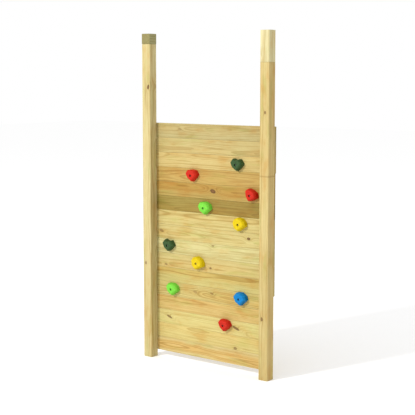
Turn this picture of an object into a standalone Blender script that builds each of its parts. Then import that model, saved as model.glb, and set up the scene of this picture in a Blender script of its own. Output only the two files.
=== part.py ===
"""Rock climbing wall: two timber posts, a wall of boards on their backs and bolted holds.

Metres, +Z up. The climber's side faces -Y. The origin is on the ground, under the middle of the
wall's overall box.
"""
import math

import bmesh
import bpy
from mathutils import Matrix

# Frame: two square posts, each with a short head on top.
FRAME_HEIGHT = 2.250
CLEAR_WIDTH = 0.915
POST_SIDE = 0.070
POST_EASING = 0.0045
LEFT_HEAD_HEIGHT = 0.070
RIGHT_HEAD_HEIGHT = 0.200

# Wall: boards laid edge to edge, numbered from the top, screwed to the backs of the posts.
PLANK_COUNT = 16
PLANK_PITCH = 0.100
PLANK_SEAM = 0.0008
PLANK_THICK = 0.018
PLANK_LENGTH = 1.035
PLANK_EASING = 0.0025
WALL_BOTTOM = 0.045
# Board ends step in and out: each entry is the last board of a run and how far it sits to the right.
PLANK_RUNS = ((3, 0.008), (11, 0.004), (PLANK_COUNT, -0.004))

# Holds: moulded blocks with steep sides, a short shoulder and a bolt sunk in a broad crown.
HOLD_DEPTH = 0.040
HOLD_RIM_DEPTH = 0.028
HOLD_RIM_SCALE = 0.96
HOLD_CROWN_SCALE = 0.74
HOLD_RIM_LIFT = 0.001
HOLD_CROWN_LIFT = 0.003
HOLD_CROWN_SLOPE = 0.10
HOLD_ROUNDING = 0.0050
HOLD_ROUND_STEPS = 3
SEAT_DEPTH = 0.020
SEAT_RADIUS = 0.0080
BOLT_HOLE_RADIUS = 0.0046

# Fixings: a socket-head bolt from the front into a T-nut driven in from behind.
BOLT_RADIUS = 0.004
BOLT_HEAD_RADIUS = 0.0065
BOLT_HEAD_HEIGHT = 0.008
BOLT_CHAMFER = 0.0008
SOCKET_ACROSS_FLATS = 0.006
SOCKET_DEPTH = 0.004
NUT_FLANGE_RADIUS = 0.0115
NUT_FLANGE_THICK = 0.0017
NUT_BARREL_RADIUS = 0.005
NUT_BARREL_LENGTH = 0.011
NUT_BORE_RADIUS = 0.0044
NUT_HOLE_RADIUS = 0.0055
NUT_NOTCH_COUNT = 4
NUT_NOTCH_WIDTH = 0.0038
NUT_NOTCH_DEPTH = 0.0030
BOLT_TIP_SETBACK = 0.0005

MILLIMETRE = 0.001
FIT_GAP = 0.0003
ROUND_STEPS = 18
SHARP_ANGLE = math.radians(32)
TIMBER_ROUND_STEPS = 2
CUT_THROUGH = 0.010
MERGE_DISTANCE = 0.00002

# Outlines of the five moulds, seen from the front: corners in millimetres from the bolt, clockwise.
HOLD_OUTLINES = {
    "heart": ((-50, 10), (-30, 40), (-3, 31), (24, 41), (51, 10), (31, -18), (4, -43), (-32, -21)),
    "shield": ((-50, 12), (-34, 37), (0, 41), (33, 36), (51, 8), (28, -21), (2, -43), (-32, -20)),
    "wedge": ((-53, 6), (-37, 36), (7, 44), (40, 31), (55, 3), (7, -45), (-34, -26)),
    "egg": ((-52, -2), (-45, 26), (-18, 45), (18, 45), (44, 28), (55, 3), (3, -47), (-34, -34)),
    "hexagon": ((-53, 8), (-30, 40), (11, 46), (44, 29), (55, 3), (9, -46), (-34, -26)),
}

# Each hold: name, mould, finish, distance right of the wall's middle, board number, rise above the
# board's middle, turn in degrees.
HOLDS = (
    ("green_upper", "heart", "dark green", 0.242, 3, -0.006, -4),
    ("red_upper", "shield", "red", -0.133, 4, 0.003, 0),
    ("red_side", "shield", "red", 0.355, 5, -0.001, -25),
    ("lime_upper", "wedge", "lime green", -0.025, 6, -0.010, -6),
    ("yellow_upper", "egg", "yellow", 0.263, 7, 0.002, -10),
    ("green_lower", "heart", "dark green", -0.341, 9, 0.007, -8),
    ("yellow_lower", "egg", "yellow", -0.087, 10, 0.007, -22),
    ("lime_lower", "wedge", "lime green", -0.308, 12, 0.003, -10),
    ("blue", "hexagon", "blue", 0.272, 12, 0.007, -6),
    ("red_lower", "shield", "red", 0.143, 14, 0.011, -6),
)

# Finishes: colour, roughness and metallic value.
FINISHES = {
    "post timber": ((0.79, 0.62, 0.31), 0.75, 0.0),
    "left head timber": ((0.45, 0.36, 0.16), 0.80, 0.0),
    "right head timber": ((0.88, 0.76, 0.44), 0.78, 0.0),
    "pale board": ((0.73, 0.58, 0.24), 0.75, 0.0),
    "warm board": ((0.66, 0.45, 0.14), 0.75, 0.0),
    "brown board": ((0.43, 0.30, 0.08), 0.75, 0.0),
    "dark green": ((0.016, 0.070, 0.040), 0.45, 0.0),
    "red": ((0.62, 0.020, 0.018), 0.42, 0.0),
    "lime green": ((0.14, 0.72, 0.060), 0.42, 0.0),
    "yellow": ((0.88, 0.58, 0.008), 0.42, 0.0),
    "blue": ((0.010, 0.20, 0.68), 0.42, 0.0),
    "zinc steel": ((0.62, 0.63, 0.64), 0.35, 1.0),
}
BOARD_FINISHES = (
    "pale board", "pale board", "pale board", "warm board",
    "warm board", "brown board", "pale board", "pale board",
    "pale board", "pale board", "warm board", "warm board",
    "warm board", "pale board", "pale board", "warm board",
)

# Places that follow from the sizes above.
OVERALL_DEPTH = POST_SIDE + PLANK_THICK + NUT_FLANGE_THICK + 2 * FIT_GAP
POST_FRONT_Y = -OVERALL_DEPTH / 2
POST_Y = POST_FRONT_Y + POST_SIDE / 2
PLANK_FRONT_Y = POST_FRONT_Y + POST_SIDE + FIT_GAP
PLANK_Y = PLANK_FRONT_Y + PLANK_THICK / 2
POST_X = (CLEAR_WIDTH + POST_SIDE) / 2
WALL_TOP = WALL_BOTTOM + PLANK_COUNT * PLANK_PITCH


def plank_height(number):
    """Height of a board's middle above the ground; board 1 is the top one."""
    return WALL_TOP - (number - 0.5) * PLANK_PITCH


def plank_shift(number):
    """How far a board sits to the right of the wall's middle."""
    for last, shift in PLANK_RUNS:
        if number <= last:
            return shift
    return 0.0


def make_collection(name):
    collection = bpy.data.collections.new(name)
    bpy.context.scene.collection.children.link(collection)
    return collection


def make_material(name, colour, roughness, metallic):
    material = bpy.data.materials.new(name)
    material.use_nodes = True
    shader = material.node_tree.nodes["Principled BSDF"]
    shader.inputs["Base Color"].default_value = (*colour, 1.0)
    shader.inputs["Roughness"].default_value = roughness
    shader.inputs["Metallic"].default_value = metallic
    material.diffuse_color = (*colour, 1.0)
    return material


def add_object(name, bm, collection, finish=None, parent=None):
    """Turn an edit mesh into a named object in a collection."""
    mesh = bpy.data.meshes.new(name)
    bm.to_mesh(mesh)
    bm.free()
    item = bpy.data.objects.new(name, mesh)
    collection.objects.link(item)
    item.parent = parent
    if finish is not None:
        mesh.materials.append(finish)
    return item


def add_cutter(name, bm, collection, parent=None):
    cutter = add_object(name, bm, collection, parent=parent)
    cutter.hide_render = True
    cutter.display_type = "WIRE"
    return cutter


def cut(item, cutter):
    boolean = item.modifiers.new(cutter.name, "BOOLEAN")
    boolean.operation = "DIFFERENCE"
    boolean.object = cutter


def settle(piece):
    """Keep what the modifiers make as the piece's mesh, shaded smooth between its sharp edges."""
    evaluated = piece.evaluated_get(bpy.context.evaluated_depsgraph_get())
    mesh = bpy.data.meshes.new_from_object(evaluated)
    mesh.name = piece.name
    piece.modifiers.clear()
    piece.data = mesh
    mesh.shade_smooth()
    mesh.set_sharp_from_angle(angle=SHARP_ANGLE)


def make_timber(name, size, place, grain, easing, collection, finish):
    """A sawn length: a box whose four edges along the grain are eased and whose ends stay sharp."""
    bm = bmesh.new()
    bmesh.ops.create_cube(bm, size=1.0)
    bmesh.ops.scale(bm, vec=size, verts=bm.verts)
    along = "XYZ".index(grain)
    long_edges = []
    for edge in bm.edges:
        start, end = edge.verts
        if abs(start.co[along] - end.co[along]) > size[along] / 2:
            long_edges.append(edge)
    bmesh.ops.bevel(
        bm, geom=long_edges, offset=easing, segments=TIMBER_ROUND_STEPS, profile=0.5, affect="EDGES")
    timber = add_object(name, bm, collection, finish)
    timber.location = place
    return timber


def make_posts(collection, finishes):
    """Both posts with their heads; the heads end level at the full height.

    The left head shows its end grain to the front, and the right head's grain is upright.
    """
    heads = (("left", -POST_X, LEFT_HEAD_HEIGHT, "Y"), ("right", POST_X, RIGHT_HEAD_HEIGHT, "Z"))
    for side, x, head_height, head_grain in heads:
        length = FRAME_HEIGHT - head_height - FIT_GAP
        make_timber(
            f"{side}_post", (POST_SIDE, POST_SIDE, length), (x, POST_Y, length / 2),
            "Z", POST_EASING, collection, finishes["post timber"])
        make_timber(
            f"{side}_post_head", (POST_SIDE, POST_SIDE, head_height),
            (x, POST_Y, FRAME_HEIGHT - head_height / 2),
            head_grain, POST_EASING, collection, finishes[f"{side} head timber"])


def make_planks(collection, finishes):
    planks = {}
    for number in range(1, PLANK_COUNT + 1):
        planks[number] = make_timber(
            f"plank_{number:02d}",
            (PLANK_LENGTH, PLANK_THICK, PLANK_PITCH - PLANK_SEAM),
            (plank_shift(number), PLANK_Y, plank_height(number)),
            "X", PLANK_EASING, collection, finishes[BOARD_FINISHES[number - 1]])
    return planks


def make_cylinder(radius, low, high, sides=ROUND_STEPS):
    """A closed cylinder about Z between two heights."""
    bm = bmesh.new()
    bmesh.ops.create_cone(
        bm, cap_ends=True, segments=sides, radius1=radius, radius2=radius, depth=high - low)
    bmesh.ops.translate(bm, vec=(0, 0, (low + high) / 2), verts=bm.verts)
    return bm


def make_turned(name, profile, closed, collection, finish, parent):
    """A turned piece: a profile of radius and height pairs swept once round Z."""
    bm = bmesh.new()
    points = [bm.verts.new((radius, 0, height)) for radius, height in profile]
    for start, end in zip(points, points[1:]):
        bm.edges.new((start, end))
    if closed:
        bm.edges.new((points[-1], points[0]))
    piece = add_object(name, bm, collection, finish, parent)
    screw = piece.modifiers.new("turn", "SCREW")
    screw.axis = "Z"
    screw.steps = ROUND_STEPS
    screw.render_steps = ROUND_STEPS
    screw.use_merge_vertices = True
    screw.merge_threshold = MERGE_DISTANCE
    return piece


def make_hold_body(name, outline, collection, finish, parent):
    """A moulded hold about the bolt's axis, its back at height 0 and its crown facing +Z.

    The sides rise steeply from the outline to the rim. The rim and the crown are pushed upwards,
    and the crown leans, so that the top edge stands out as a ledge to grip.
    """
    sides = len(outline)
    bm = bmesh.new()
    bmesh.ops.create_cone(
        bm, cap_ends=True, segments=sides, radius1=1.0, radius2=1.0, depth=HOLD_RIM_DEPTH)
    bmesh.ops.translate(bm, vec=(0, 0, HOLD_RIM_DEPTH / 2), verts=bm.verts)
    # The outline runs clockwise, so each ring of the prism is taken in that order too.
    for height, scale, lift in ((0.0, 1.0, 0.0), (HOLD_RIM_DEPTH, HOLD_RIM_SCALE, HOLD_RIM_LIFT)):
        ring = [vert for vert in bm.verts if abs(vert.co.z - height) < MERGE_DISTANCE]
        ring.sort(key=lambda vert: -math.atan2(vert.co.y, vert.co.x))
        for vert, (x, y) in zip(ring, outline):
            vert.co.x = x * MILLIMETRE * scale
            vert.co.y = y * MILLIMETRE * scale + lift
    rim_top = max(bm.faces, key=lambda face: face.calc_center_median().z)
    crown = bmesh.ops.extrude_discrete_faces(bm, faces=[rim_top])["faces"][0]
    for vert in crown.verts:
        vert.co.x *= HOLD_CROWN_SCALE / HOLD_RIM_SCALE
        vert.co.y = (vert.co.y - HOLD_RIM_LIFT) * HOLD_CROWN_SCALE / HOLD_RIM_SCALE + HOLD_CROWN_LIFT
        vert.co.z = HOLD_DEPTH + HOLD_CROWN_SLOPE * (vert.co.y - HOLD_CROWN_LIFT)
    rounded = [edge for edge in bm.edges if max(vert.co.z for vert in edge.verts) > MERGE_DISTANCE]
    bmesh.ops.bevel(
        bm, geom=rounded, offset=HOLD_ROUNDING, segments=HOLD_ROUND_STEPS, profile=0.5,
        affect="EDGES", clamp_overlap=True)
    bmesh.ops.recalc_face_normals(bm, faces=bm.faces)
    return add_object(name, bm, collection, finish, parent)


def make_bolt(name, collection, finish, parent):
    """A socket-head bolt about Z: the head's underside is at height 0 and the shank runs down."""
    reach = SEAT_DEPTH + PLANK_THICK + NUT_FLANGE_THICK + 3 * FIT_GAP - BOLT_TIP_SETBACK
    profile = (
        (0.0, BOLT_HEAD_HEIGHT),
        (BOLT_HEAD_RADIUS - BOLT_CHAMFER, BOLT_HEAD_HEIGHT),
        (BOLT_HEAD_RADIUS, BOLT_HEAD_HEIGHT - BOLT_CHAMFER),
        (BOLT_HEAD_RADIUS, 0.0),
        (BOLT_RADIUS, 0.0),
        (BOLT_RADIUS, BOLT_CHAMFER - reach),
        (BOLT_RADIUS - BOLT_CHAMFER, -reach),
        (0.0, -reach),
    )
    return make_turned(name, profile, False, collection, finish, parent)


def make_t_nut(name, collection, finish, parent):
    """A T-nut about Z: the flange's gripping face is at height 0 and the barrel points up."""
    profile = (
        (NUT_BARREL_RADIUS, NUT_BARREL_LENGTH),
        (NUT_BARREL_RADIUS, 0.0),
        (NUT_FLANGE_RADIUS, 0.0),
        (NUT_FLANGE_RADIUS, -NUT_FLANGE_THICK),
        (NUT_BORE_RADIUS, -NUT_FLANGE_THICK),
        (NUT_BORE_RADIUS, NUT_BARREL_LENGTH),
    )
    return make_turned(name, profile, True, collection, finish, parent)


def make_notches():
    """Blocks for the notches in a T-nut's flange, where its prongs are bent out of the rim."""
    bm = bmesh.new()
    for step in range(NUT_NOTCH_COUNT):
        block = bmesh.ops.create_cube(bm, size=1.0)["verts"]
        bmesh.ops.scale(bm, vec=(2 * NUT_NOTCH_DEPTH, NUT_NOTCH_WIDTH, 2 * CUT_THROUGH), verts=block)
        bmesh.ops.translate(bm, vec=(NUT_FLANGE_RADIUS, 0, 0), verts=block)
        turn = Matrix.Rotation(step * 2 * math.pi / NUT_NOTCH_COUNT, 3, "Z")
        bmesh.ops.rotate(bm, cent=(0, 0, 0), matrix=turn, verts=block)
    return bm


def make_hold(entry, planks, parts, cutters, finishes):
    """One hold with its bolt, its T-nut and the hole through its board."""
    name, mould, colour, x, board, rise, turn = entry
    site = bpy.data.objects.new(f"site_{name}", None)
    parts.objects.link(site)
    site.location = (x, PLANK_FRONT_Y, plank_height(board) + rise)
    site.rotation_euler = (math.pi / 2, 0, 0)

    body = make_hold_body(f"hold_{name}", HOLD_OUTLINES[mould], parts, finishes[colour], site)
    body.location.z = FIT_GAP
    body.rotation_euler.z = math.radians(turn)
    seat_top = HOLD_DEPTH + CUT_THROUGH
    cut(body, add_cutter(
        f"seat_cutter_{name}", make_cylinder(SEAT_RADIUS, SEAT_DEPTH, seat_top), cutters, body))
    cut(body, add_cutter(
        f"bolt_hole_cutter_{name}", make_cylinder(BOLT_HOLE_RADIUS, -CUT_THROUGH, seat_top), cutters, body))

    bolt = make_bolt(f"hold_bolt_{name}", parts, finishes["zinc steel"], site)
    bolt.location.z = SEAT_DEPTH + 2 * FIT_GAP
    socket_radius = SOCKET_ACROSS_FLATS / math.sqrt(3)
    socket_floor = BOLT_HEAD_HEIGHT - SOCKET_DEPTH
    cut(bolt, add_cutter(
        f"socket_cutter_{name}",
        make_cylinder(socket_radius, socket_floor, BOLT_HEAD_HEIGHT + CUT_THROUGH, 6), cutters, bolt))

    nut = make_t_nut(f"t_nut_{name}", parts, finishes["zinc steel"], site)
    nut.location.z = -PLANK_THICK - FIT_GAP
    cut(nut, add_cutter(f"notch_cutter_{name}", make_notches(), cutters, nut))
    cut(planks[board], add_cutter(
        f"nut_hole_cutter_{name}",
        make_cylinder(NUT_HOLE_RADIUS, -PLANK_THICK - CUT_THROUGH, CUT_THROUGH), cutters, site))
    return body, bolt, nut


def build():
    for item in list(bpy.data.objects):
        bpy.data.objects.remove(item, do_unlink=True)
    parts = make_collection("rock_climbing_wall")
    cutters = make_collection("cutters")
    finishes = {name: make_material(name, *values) for name, values in FINISHES.items()}
    make_posts(parts, finishes)
    planks = make_planks(parts, finishes)
    round_pieces = []
    for entry in HOLDS:
        round_pieces.extend(make_hold(entry, planks, parts, cutters, finishes))
    for piece in round_pieces:
        settle(piece)


build()
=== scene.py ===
# %% [markdown]
# # A timber climbing wall
# Two square posts carry sixteen boards on their backs, and ten coloured holds are bolted through the
# boards. The solids that fix the wall's sizes are loaded first and stay where they are. Every piece
# below is a finer one that stands in a solid's place, so its size and place are read from that solid
# and not typed again.

# %% Load the wall's solids
import math
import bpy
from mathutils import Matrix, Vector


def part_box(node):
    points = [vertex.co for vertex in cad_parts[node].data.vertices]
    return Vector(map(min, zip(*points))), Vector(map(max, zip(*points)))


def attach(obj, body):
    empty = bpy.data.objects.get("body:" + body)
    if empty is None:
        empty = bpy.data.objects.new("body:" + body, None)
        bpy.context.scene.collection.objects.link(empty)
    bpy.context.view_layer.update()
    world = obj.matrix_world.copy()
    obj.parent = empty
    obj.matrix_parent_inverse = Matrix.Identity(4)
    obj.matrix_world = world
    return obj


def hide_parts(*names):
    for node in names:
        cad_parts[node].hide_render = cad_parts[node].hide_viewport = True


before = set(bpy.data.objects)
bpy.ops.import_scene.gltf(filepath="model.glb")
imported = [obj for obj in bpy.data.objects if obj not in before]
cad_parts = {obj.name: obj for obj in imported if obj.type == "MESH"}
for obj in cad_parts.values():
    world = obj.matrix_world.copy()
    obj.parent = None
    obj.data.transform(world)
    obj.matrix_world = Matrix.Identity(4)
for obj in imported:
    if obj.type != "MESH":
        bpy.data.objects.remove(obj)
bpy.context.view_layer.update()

from types import SimpleNamespace

import bmesh
import bpy
from mathutils import Color, Matrix, Vector

MM = 0.001

# %% [markdown]
# ## The camera
# The photograph looks at the wall from its right, from a little under two metres up. The eye point was
# worked out from the edges of the posts and boards. Turning a camera at that point keeps the
# perspective, while a longer lens brings the wall up to fill a frame of 415 by 415 pixels. The camera
# aims straight at the wall, so its lens needs no shift.

# %% Camera
FRAME_PIXELS = 415
SENSOR_WIDTH = 36.0
EYE = Vector((4.314, -5.554, 1.953))
AIM = Vector((0.005, 0.0, 1.092))
FOCAL_PIXELS = 1060

bpy.ops.object.select_all(action="DESELECT")
bpy.ops.object.camera_add(location=EYE)
camera = bpy.context.object
camera.name = "photo_camera"
camera.rotation_euler = (AIM - EYE).to_track_quat("-Z", "Y").to_euler()
camera.data.sensor_width = SENSOR_WIDTH
camera.data.lens = SENSOR_WIDTH * FOCAL_PIXELS / FRAME_PIXELS
bpy.context.scene.camera = camera
print(f"lens {camera.data.lens:.1f} mm, {(AIM - EYE).length:.2f} m from the wall")

# %% [markdown]
# ## Floor and light
# The photograph is a bright one on white. A white sky lights everything evenly and stays white behind
# the wall. One lamp, high and a little to the left of the climber, gives the fronts nearly twice the
# light that the posts' right sides get, and it puts the holds' lower right sides in shade. The floor is
# almost white too, so only the shadow of the wall shows on it.

# %% Floor
FLOOR_SIZE = 60.0
FLOOR_TONE = 0.985
FLOOR_ROUGHNESS = 0.9

bpy.ops.object.select_all(action="DESELECT")
bpy.ops.mesh.primitive_plane_add(size=FLOOR_SIZE)
floor = bpy.context.object
floor.name = "pale_floor"
floor_paint = bpy.data.materials.new("pale floor paint")
floor_paint.use_nodes = True
floor_shader = floor_paint.node_tree.nodes["Principled BSDF"].inputs
floor_shader["Base Color"].default_value = (FLOOR_TONE, FLOOR_TONE, FLOOR_TONE, 1.0)
floor_shader["Roughness"].default_value = FLOOR_ROUGHNESS
floor_shader["Specular IOR Level"].default_value = 0.0
floor.data.materials.append(floor_paint)
print("floor", FLOOR_SIZE, "m across")

# %% Sky and lamp
SKY_STRENGTH = 1.0
LAMP_PLACE = Vector((-2.2, -7.2, 5.6))
LAMP_SIZE = 0.9
LAMP_POWER = 520.0

sky = bpy.data.worlds.new("white sky")
sky.use_nodes = True
sky.node_tree.nodes["Background"].inputs["Color"].default_value = (1.0, 1.0, 1.0, 1.0)
sky.node_tree.nodes["Background"].inputs["Strength"].default_value = SKY_STRENGTH
bpy.context.scene.world = sky

bpy.ops.object.light_add(type="AREA", location=LAMP_PLACE)
lamp = bpy.context.object
lamp.name = "studio_lamp"
lamp.data.energy = LAMP_POWER
lamp.data.size = LAMP_SIZE
lamp.rotation_euler = (AIM - LAMP_PLACE).to_track_quat("-Z", "Y").to_euler()
bpy.context.scene.view_settings.view_transform = "Standard"
print("white sky and one lamp of", LAMP_POWER, "W")

# %% [markdown]
# ## Sums on sockets
# A finish is a small sum: rings of a tree, plus fibres, minus knots. Wiring each plus sign by hand
# hides the sum, so one class wraps an output socket. Python's own signs on it add Math nodes, and its
# `node` method adds any other kind of node: its settings first, then what goes into its sockets.

# %% The wire class
class Wire:
    """An output socket of a finish."""

    def __init__(self, tree, socket=None):
        self.tree = tree
        self.socket = socket

    def node(self, kind, settings=None, inputs=None, out=0):
        made = self.tree.nodes.new(kind)
        for key, value in (settings or {}).items():
            if key == "stops":
                while len(made.color_ramp.elements) < len(value):
                    made.color_ramp.elements.new(1.0)
                for element, (position, colour) in zip(made.color_ramp.elements, value):
                    element.position = position
                    element.color = (*colour, 1.0)
            else:
                setattr(made, key, value)
        for key, value in (inputs or {}).items():
            if isinstance(value, Wire):
                self.tree.links.new(value.socket, made.inputs[key])
            else:
                made.inputs[key].default_value = value
        return Wire(self.tree, made.outputs[out])

    def math(self, operation, *others):
        return self.node("ShaderNodeMath", {"operation": operation}, dict(enumerate((self, *others))))

    def reflected(self, operation, other):
        return self.node("ShaderNodeMath", {"operation": operation}, {0: other, 1: self})

    def __add__(self, other):
        return self.math("ADD", other)

    def __sub__(self, other):
        return self.math("SUBTRACT", other)

    def __rsub__(self, other):
        return self.reflected("SUBTRACT", other)

    def __mul__(self, other):
        return self.math("MULTIPLY", other)

    def __truediv__(self, other):
        return self.math("DIVIDE", other)

    def __rtruediv__(self, other):
        return self.reflected("DIVIDE", other)

    def __pow__(self, other):
        return self.math("POWER", other)

    def __rpow__(self, other):
        return self.reflected("POWER", other)

    def __neg__(self):
        return self * -1

    __radd__ = __add__
    __rmul__ = __mul__


print("wires ready")

# %% [markdown]
# A few nodes come back in every finish, so each gets a short name: a soft step, the three numbers of a
# vector, a mix of two colours, and noise that is stretched to the size of what it stands for.

# %% Steps, mixes and noise
NOISE_MIDDLE = 0.5
# The sockets of a Mix node that take its two colours and give the mixed one.
MIX_FIRST = 6
MIX_SECOND = 7
MIX_RESULT = 2


def rise(wire, low, high):
    """A soft step: 0 below low, 1 above high."""
    return wire.node(
        "ShaderNodeMapRange", {"interpolation_type": "SMOOTHSTEP", "clamp": True},
        {"Value": wire, "From Min": low, "From Max": high})


def split(wire):
    """The three numbers of a vector."""
    first = wire.node("ShaderNodeSeparateXYZ", None, {0: wire})
    return [Wire(wire.tree, socket) for socket in first.socket.node.outputs]


def mix(amount, first, second, mode="MIX"):
    """Two colours mixed by an amount that varies over the surface."""
    colours = [value if isinstance(value, Wire) else (*value, 1.0) for value in (first, second)]
    return amount.node(
        "ShaderNodeMix", {"data_type": "RGBA", "blend_type": mode},
        {0: amount, MIX_FIRST: colours[0], MIX_SECOND: colours[1]}, out=MIX_RESULT)


def noise(place, stretch, shift, detail=2.0, rough=0.5):
    """Noise around 0, about -0.5 to 0.5: stretch is how many spots fit in a metre each way."""
    moved = place.node(
        "ShaderNodeMapping", None, {"Vector": place, "Scale": stretch, "Location": shift})
    return place.node(
        "ShaderNodeTexNoise", None,
        {"Vector": moved, "Scale": 1.0, "Detail": detail, "Roughness": rough}) - NOISE_MIDDLE


def new_finish(name):
    """An empty finish: its material, its shader's sockets and a wire to start from."""
    material = bpy.data.materials.new(name)
    material.use_nodes = True
    shader = material.node_tree.nodes["Principled BSDF"]
    return material, shader.inputs, Wire(material.node_tree)


def feed(wire, socket):
    wire.tree.links.new(wire.socket, socket)


def feed_relief(height, strength, depth, shader):
    """Fine relief, too small to model, as a bump of a depth in metres."""
    bump = height.node("ShaderNodeBump", None, {"Strength": strength, "Distance": depth, "Height": height})
    feed(bump, shader["Normal"])


print("steps, mixes and noise ready")

# %% [markdown]
# ## Tones
# Tones are written as they look in the photograph, from 0 to 255. The lit fronts get more light than
# white needs, so a tone is made linear and divided by that light to give the surface's own colour.

# %% Tones
FRONT_LIGHT = 1.75
WHITE_LEVEL = 255


def tone(*levels):
    """The surface's own colour that shows as this red, green and blue in the front light."""
    seen = Color([level / WHITE_LEVEL for level in levels])
    return tuple(seen.from_srgb_to_scene_linear() / FRONT_LIGHT)


def scaled(colour, *shares):
    """A colour with its red, green and blue each multiplied by a share."""
    return tuple(level * share for level, share in zip(colour, shares))


print("tones for a front light of", FRONT_LIGHT)

# %% [markdown]
# ## Wood
# Treated pine shows the tree it was sawn from. Painting stripes on each face would not meet at the
# corners, so the finish keeps the whole trunk: every point's distance from the pith gives its ring,
# and a sawn face shows arches, an end shows arcs, and both agree along their shared edge. The pith
# wanders, which draws the arches out into long tongues.

# %% Places in the tree
# Each grain: the turn that lays the trunk along it, and the axes along, deep and across.
GRAINS = {
    "X": ((0, 0, 0), "XYZ"),
    "Y": ((0, 0, math.pi / 2), "YXZ"),
    "Z": ((0, -math.pi / 2, 0), "ZYX"),
}
PITH_WANDER = 40 * MM
PITH_DRIFT = 50 * MM
WANDER_SPOTS = (1.5, 2.5, 2.5)
DRIFT_SPOTS = (1.3, 2.5, 2.5)
# How far each seed moves a noise along, deep and across, so that no two timbers look alike.
MARK_STEPS = (3.7, 1.9, 5.3)
DRIFT_STEPS = (2.3, 7.1, 1.0)


def tree_place(start, solid, grain):
    """A point's place in its timber: along the grain, deep and across, from the timber's middle."""
    low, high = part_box(solid)
    return start.node(
        "ShaderNodeMapping", {"vector_type": "TEXTURE"},
        {"Vector": start.node("ShaderNodeTexCoord", out="Object"),
         "Location": (low + high) / 2, "Rotation": GRAINS[grain][0]})


def half_sizes(solid, grain):
    """Half of a timber's length, depth and width."""
    low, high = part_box(solid)
    return [(high - low)["XYZ".index(axis)] / 2 for axis in GRAINS[grain][1]]


def seeded(seed, steps):
    return tuple(seed * step for step in steps)


def from_pith(place, pith, seed):
    """A point's distance from a pith that wanders along the timber, and its direction from it."""
    _, deep, across = split(place)
    wander = noise(place, WANDER_SPOTS, seeded(seed, MARK_STEPS), detail=1.0)
    drift = noise(place, DRIFT_SPOTS, seeded(seed, DRIFT_STEPS), detail=1.0)
    deep = deep - pith[0] + wander * PITH_WANDER
    across = across - pith[1] + drift * PITH_DRIFT
    return (deep * deep + across * across) ** 0.5, deep.math("ARCTAN2", across)


print("the left post is", [round(2 * half, 3) for half in half_sizes("left_post", "Z")], "m")

# %% [markdown]
# A knot is a branch cut through. The rings of the trunk swing round it, its rim is dark and its core is
# red-brown. Most of these knots are cut at a slant, so each has a lean, and the fainter ones lie just
# under the surface, so each has a strength.

# %% Knots
KNOT_STRETCH = 1.5
KNOT_SPREAD = 0.16
KNOT_HALO = 0.34
KNOT_HALO_SHARES = (0.70, 0.52, 0.30)
KNOT_COVER = 0.90
KNOT_FADE = (0.9, 1.3)
# From the middle to the rim: a share of the knot's radius and the colour there.
KNOT_STOPS = ((0.0, (0.165, 0.072, 0.024)), (0.6, (0.125, 0.054, 0.018)), (0.9, (0.058, 0.027, 0.010)))


def knot_reach(place, wobble, knot):
    """How far a point lies from a knot's middle, with 1 on the knot's rim."""
    knot_along, knot_across, radius, lean, _ = knot
    along, _, across = split(place)
    off_across = (across - knot_across) / radius
    off_along = (along - knot_along) / (KNOT_STRETCH * radius) + off_across * lean
    return (off_along * off_along + off_across * off_across) ** 0.5 + wobble


def knot_swirl(reach, strength):
    """How much a knot pushes the rings aside, from 0 far away to its strength in the middle."""
    return (reach * reach * -KNOT_SPREAD).math("EXPONENT") * strength


def knot_skin(skin, reach, strength, colour):
    """A skin with one knot laid into it: a warm halo around, then the knot itself."""
    skin = mix(knot_swirl(reach, strength) * KNOT_HALO, skin, scaled(colour, *KNOT_HALO_SHARES))
    branch = reach.node("ShaderNodeValToRGB", {"stops": KNOT_STOPS}, {0: reach})
    return mix((1 - rise(reach, *KNOT_FADE)) * (KNOT_COVER * strength), skin, branch)


print("knots are", KNOT_STRETCH, "times as long as they are wide")

# %% [markdown]
# The marks of a timber are worked out once, because its colour, its sheen and its relief all use them:
# rings that darken from spring to summer and stop short in winter, lean years, streaks, thin lines and
# fibres along the grain, and the fine cracks that open towards the pith on a dry end.

# %% Marks of a timber
RING_WIDTH = 4.2 * MM
# Shares of a ring: where summer wood begins and is darkest, and where winter ends it.
SUMMER = (0.40, 0.94)
WINTER = (0.95, 1.0)
YEARS_PER_METRE = 130
CRACKS_PER_RADIAN = 7
CRACK_WIDTH = 0.018
KNOT_PUSH = 11 * MM
KNOT_WOBBLE = 0.5
STREAK_PUSH = 2.5 * MM
CLOUD_STEPS = (1.3, 4.1, 2.9)
# Each mark: how many fit in a metre along, deep and across, its seed steps, its detail and roughness.
GRAIN_MARKS = {
    "fibres": ((12, 760, 760), MARK_STEPS, 4.0, 0.6),
    "lines": ((1.6, 170, 170), MARK_STEPS, 2.0, 0.5),
    "streaks": ((2.4, 60, 60), MARK_STEPS, 3.0, 0.6),
    "patches": ((4.0, 18, 18), MARK_STEPS, 3.0, 0.6),
    "clouds": ((6.0, 16, 16), CLOUD_STEPS, 3.0, 0.6),
}


def line_noise(value):
    """Noise around 0 that follows one number."""
    return value.node(
        "ShaderNodeTexNoise", {"noise_dimensions": "1D"},
        {"W": value, "Scale": 1.0, "Detail": 2.0}) - NOISE_MIDDLE


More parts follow.
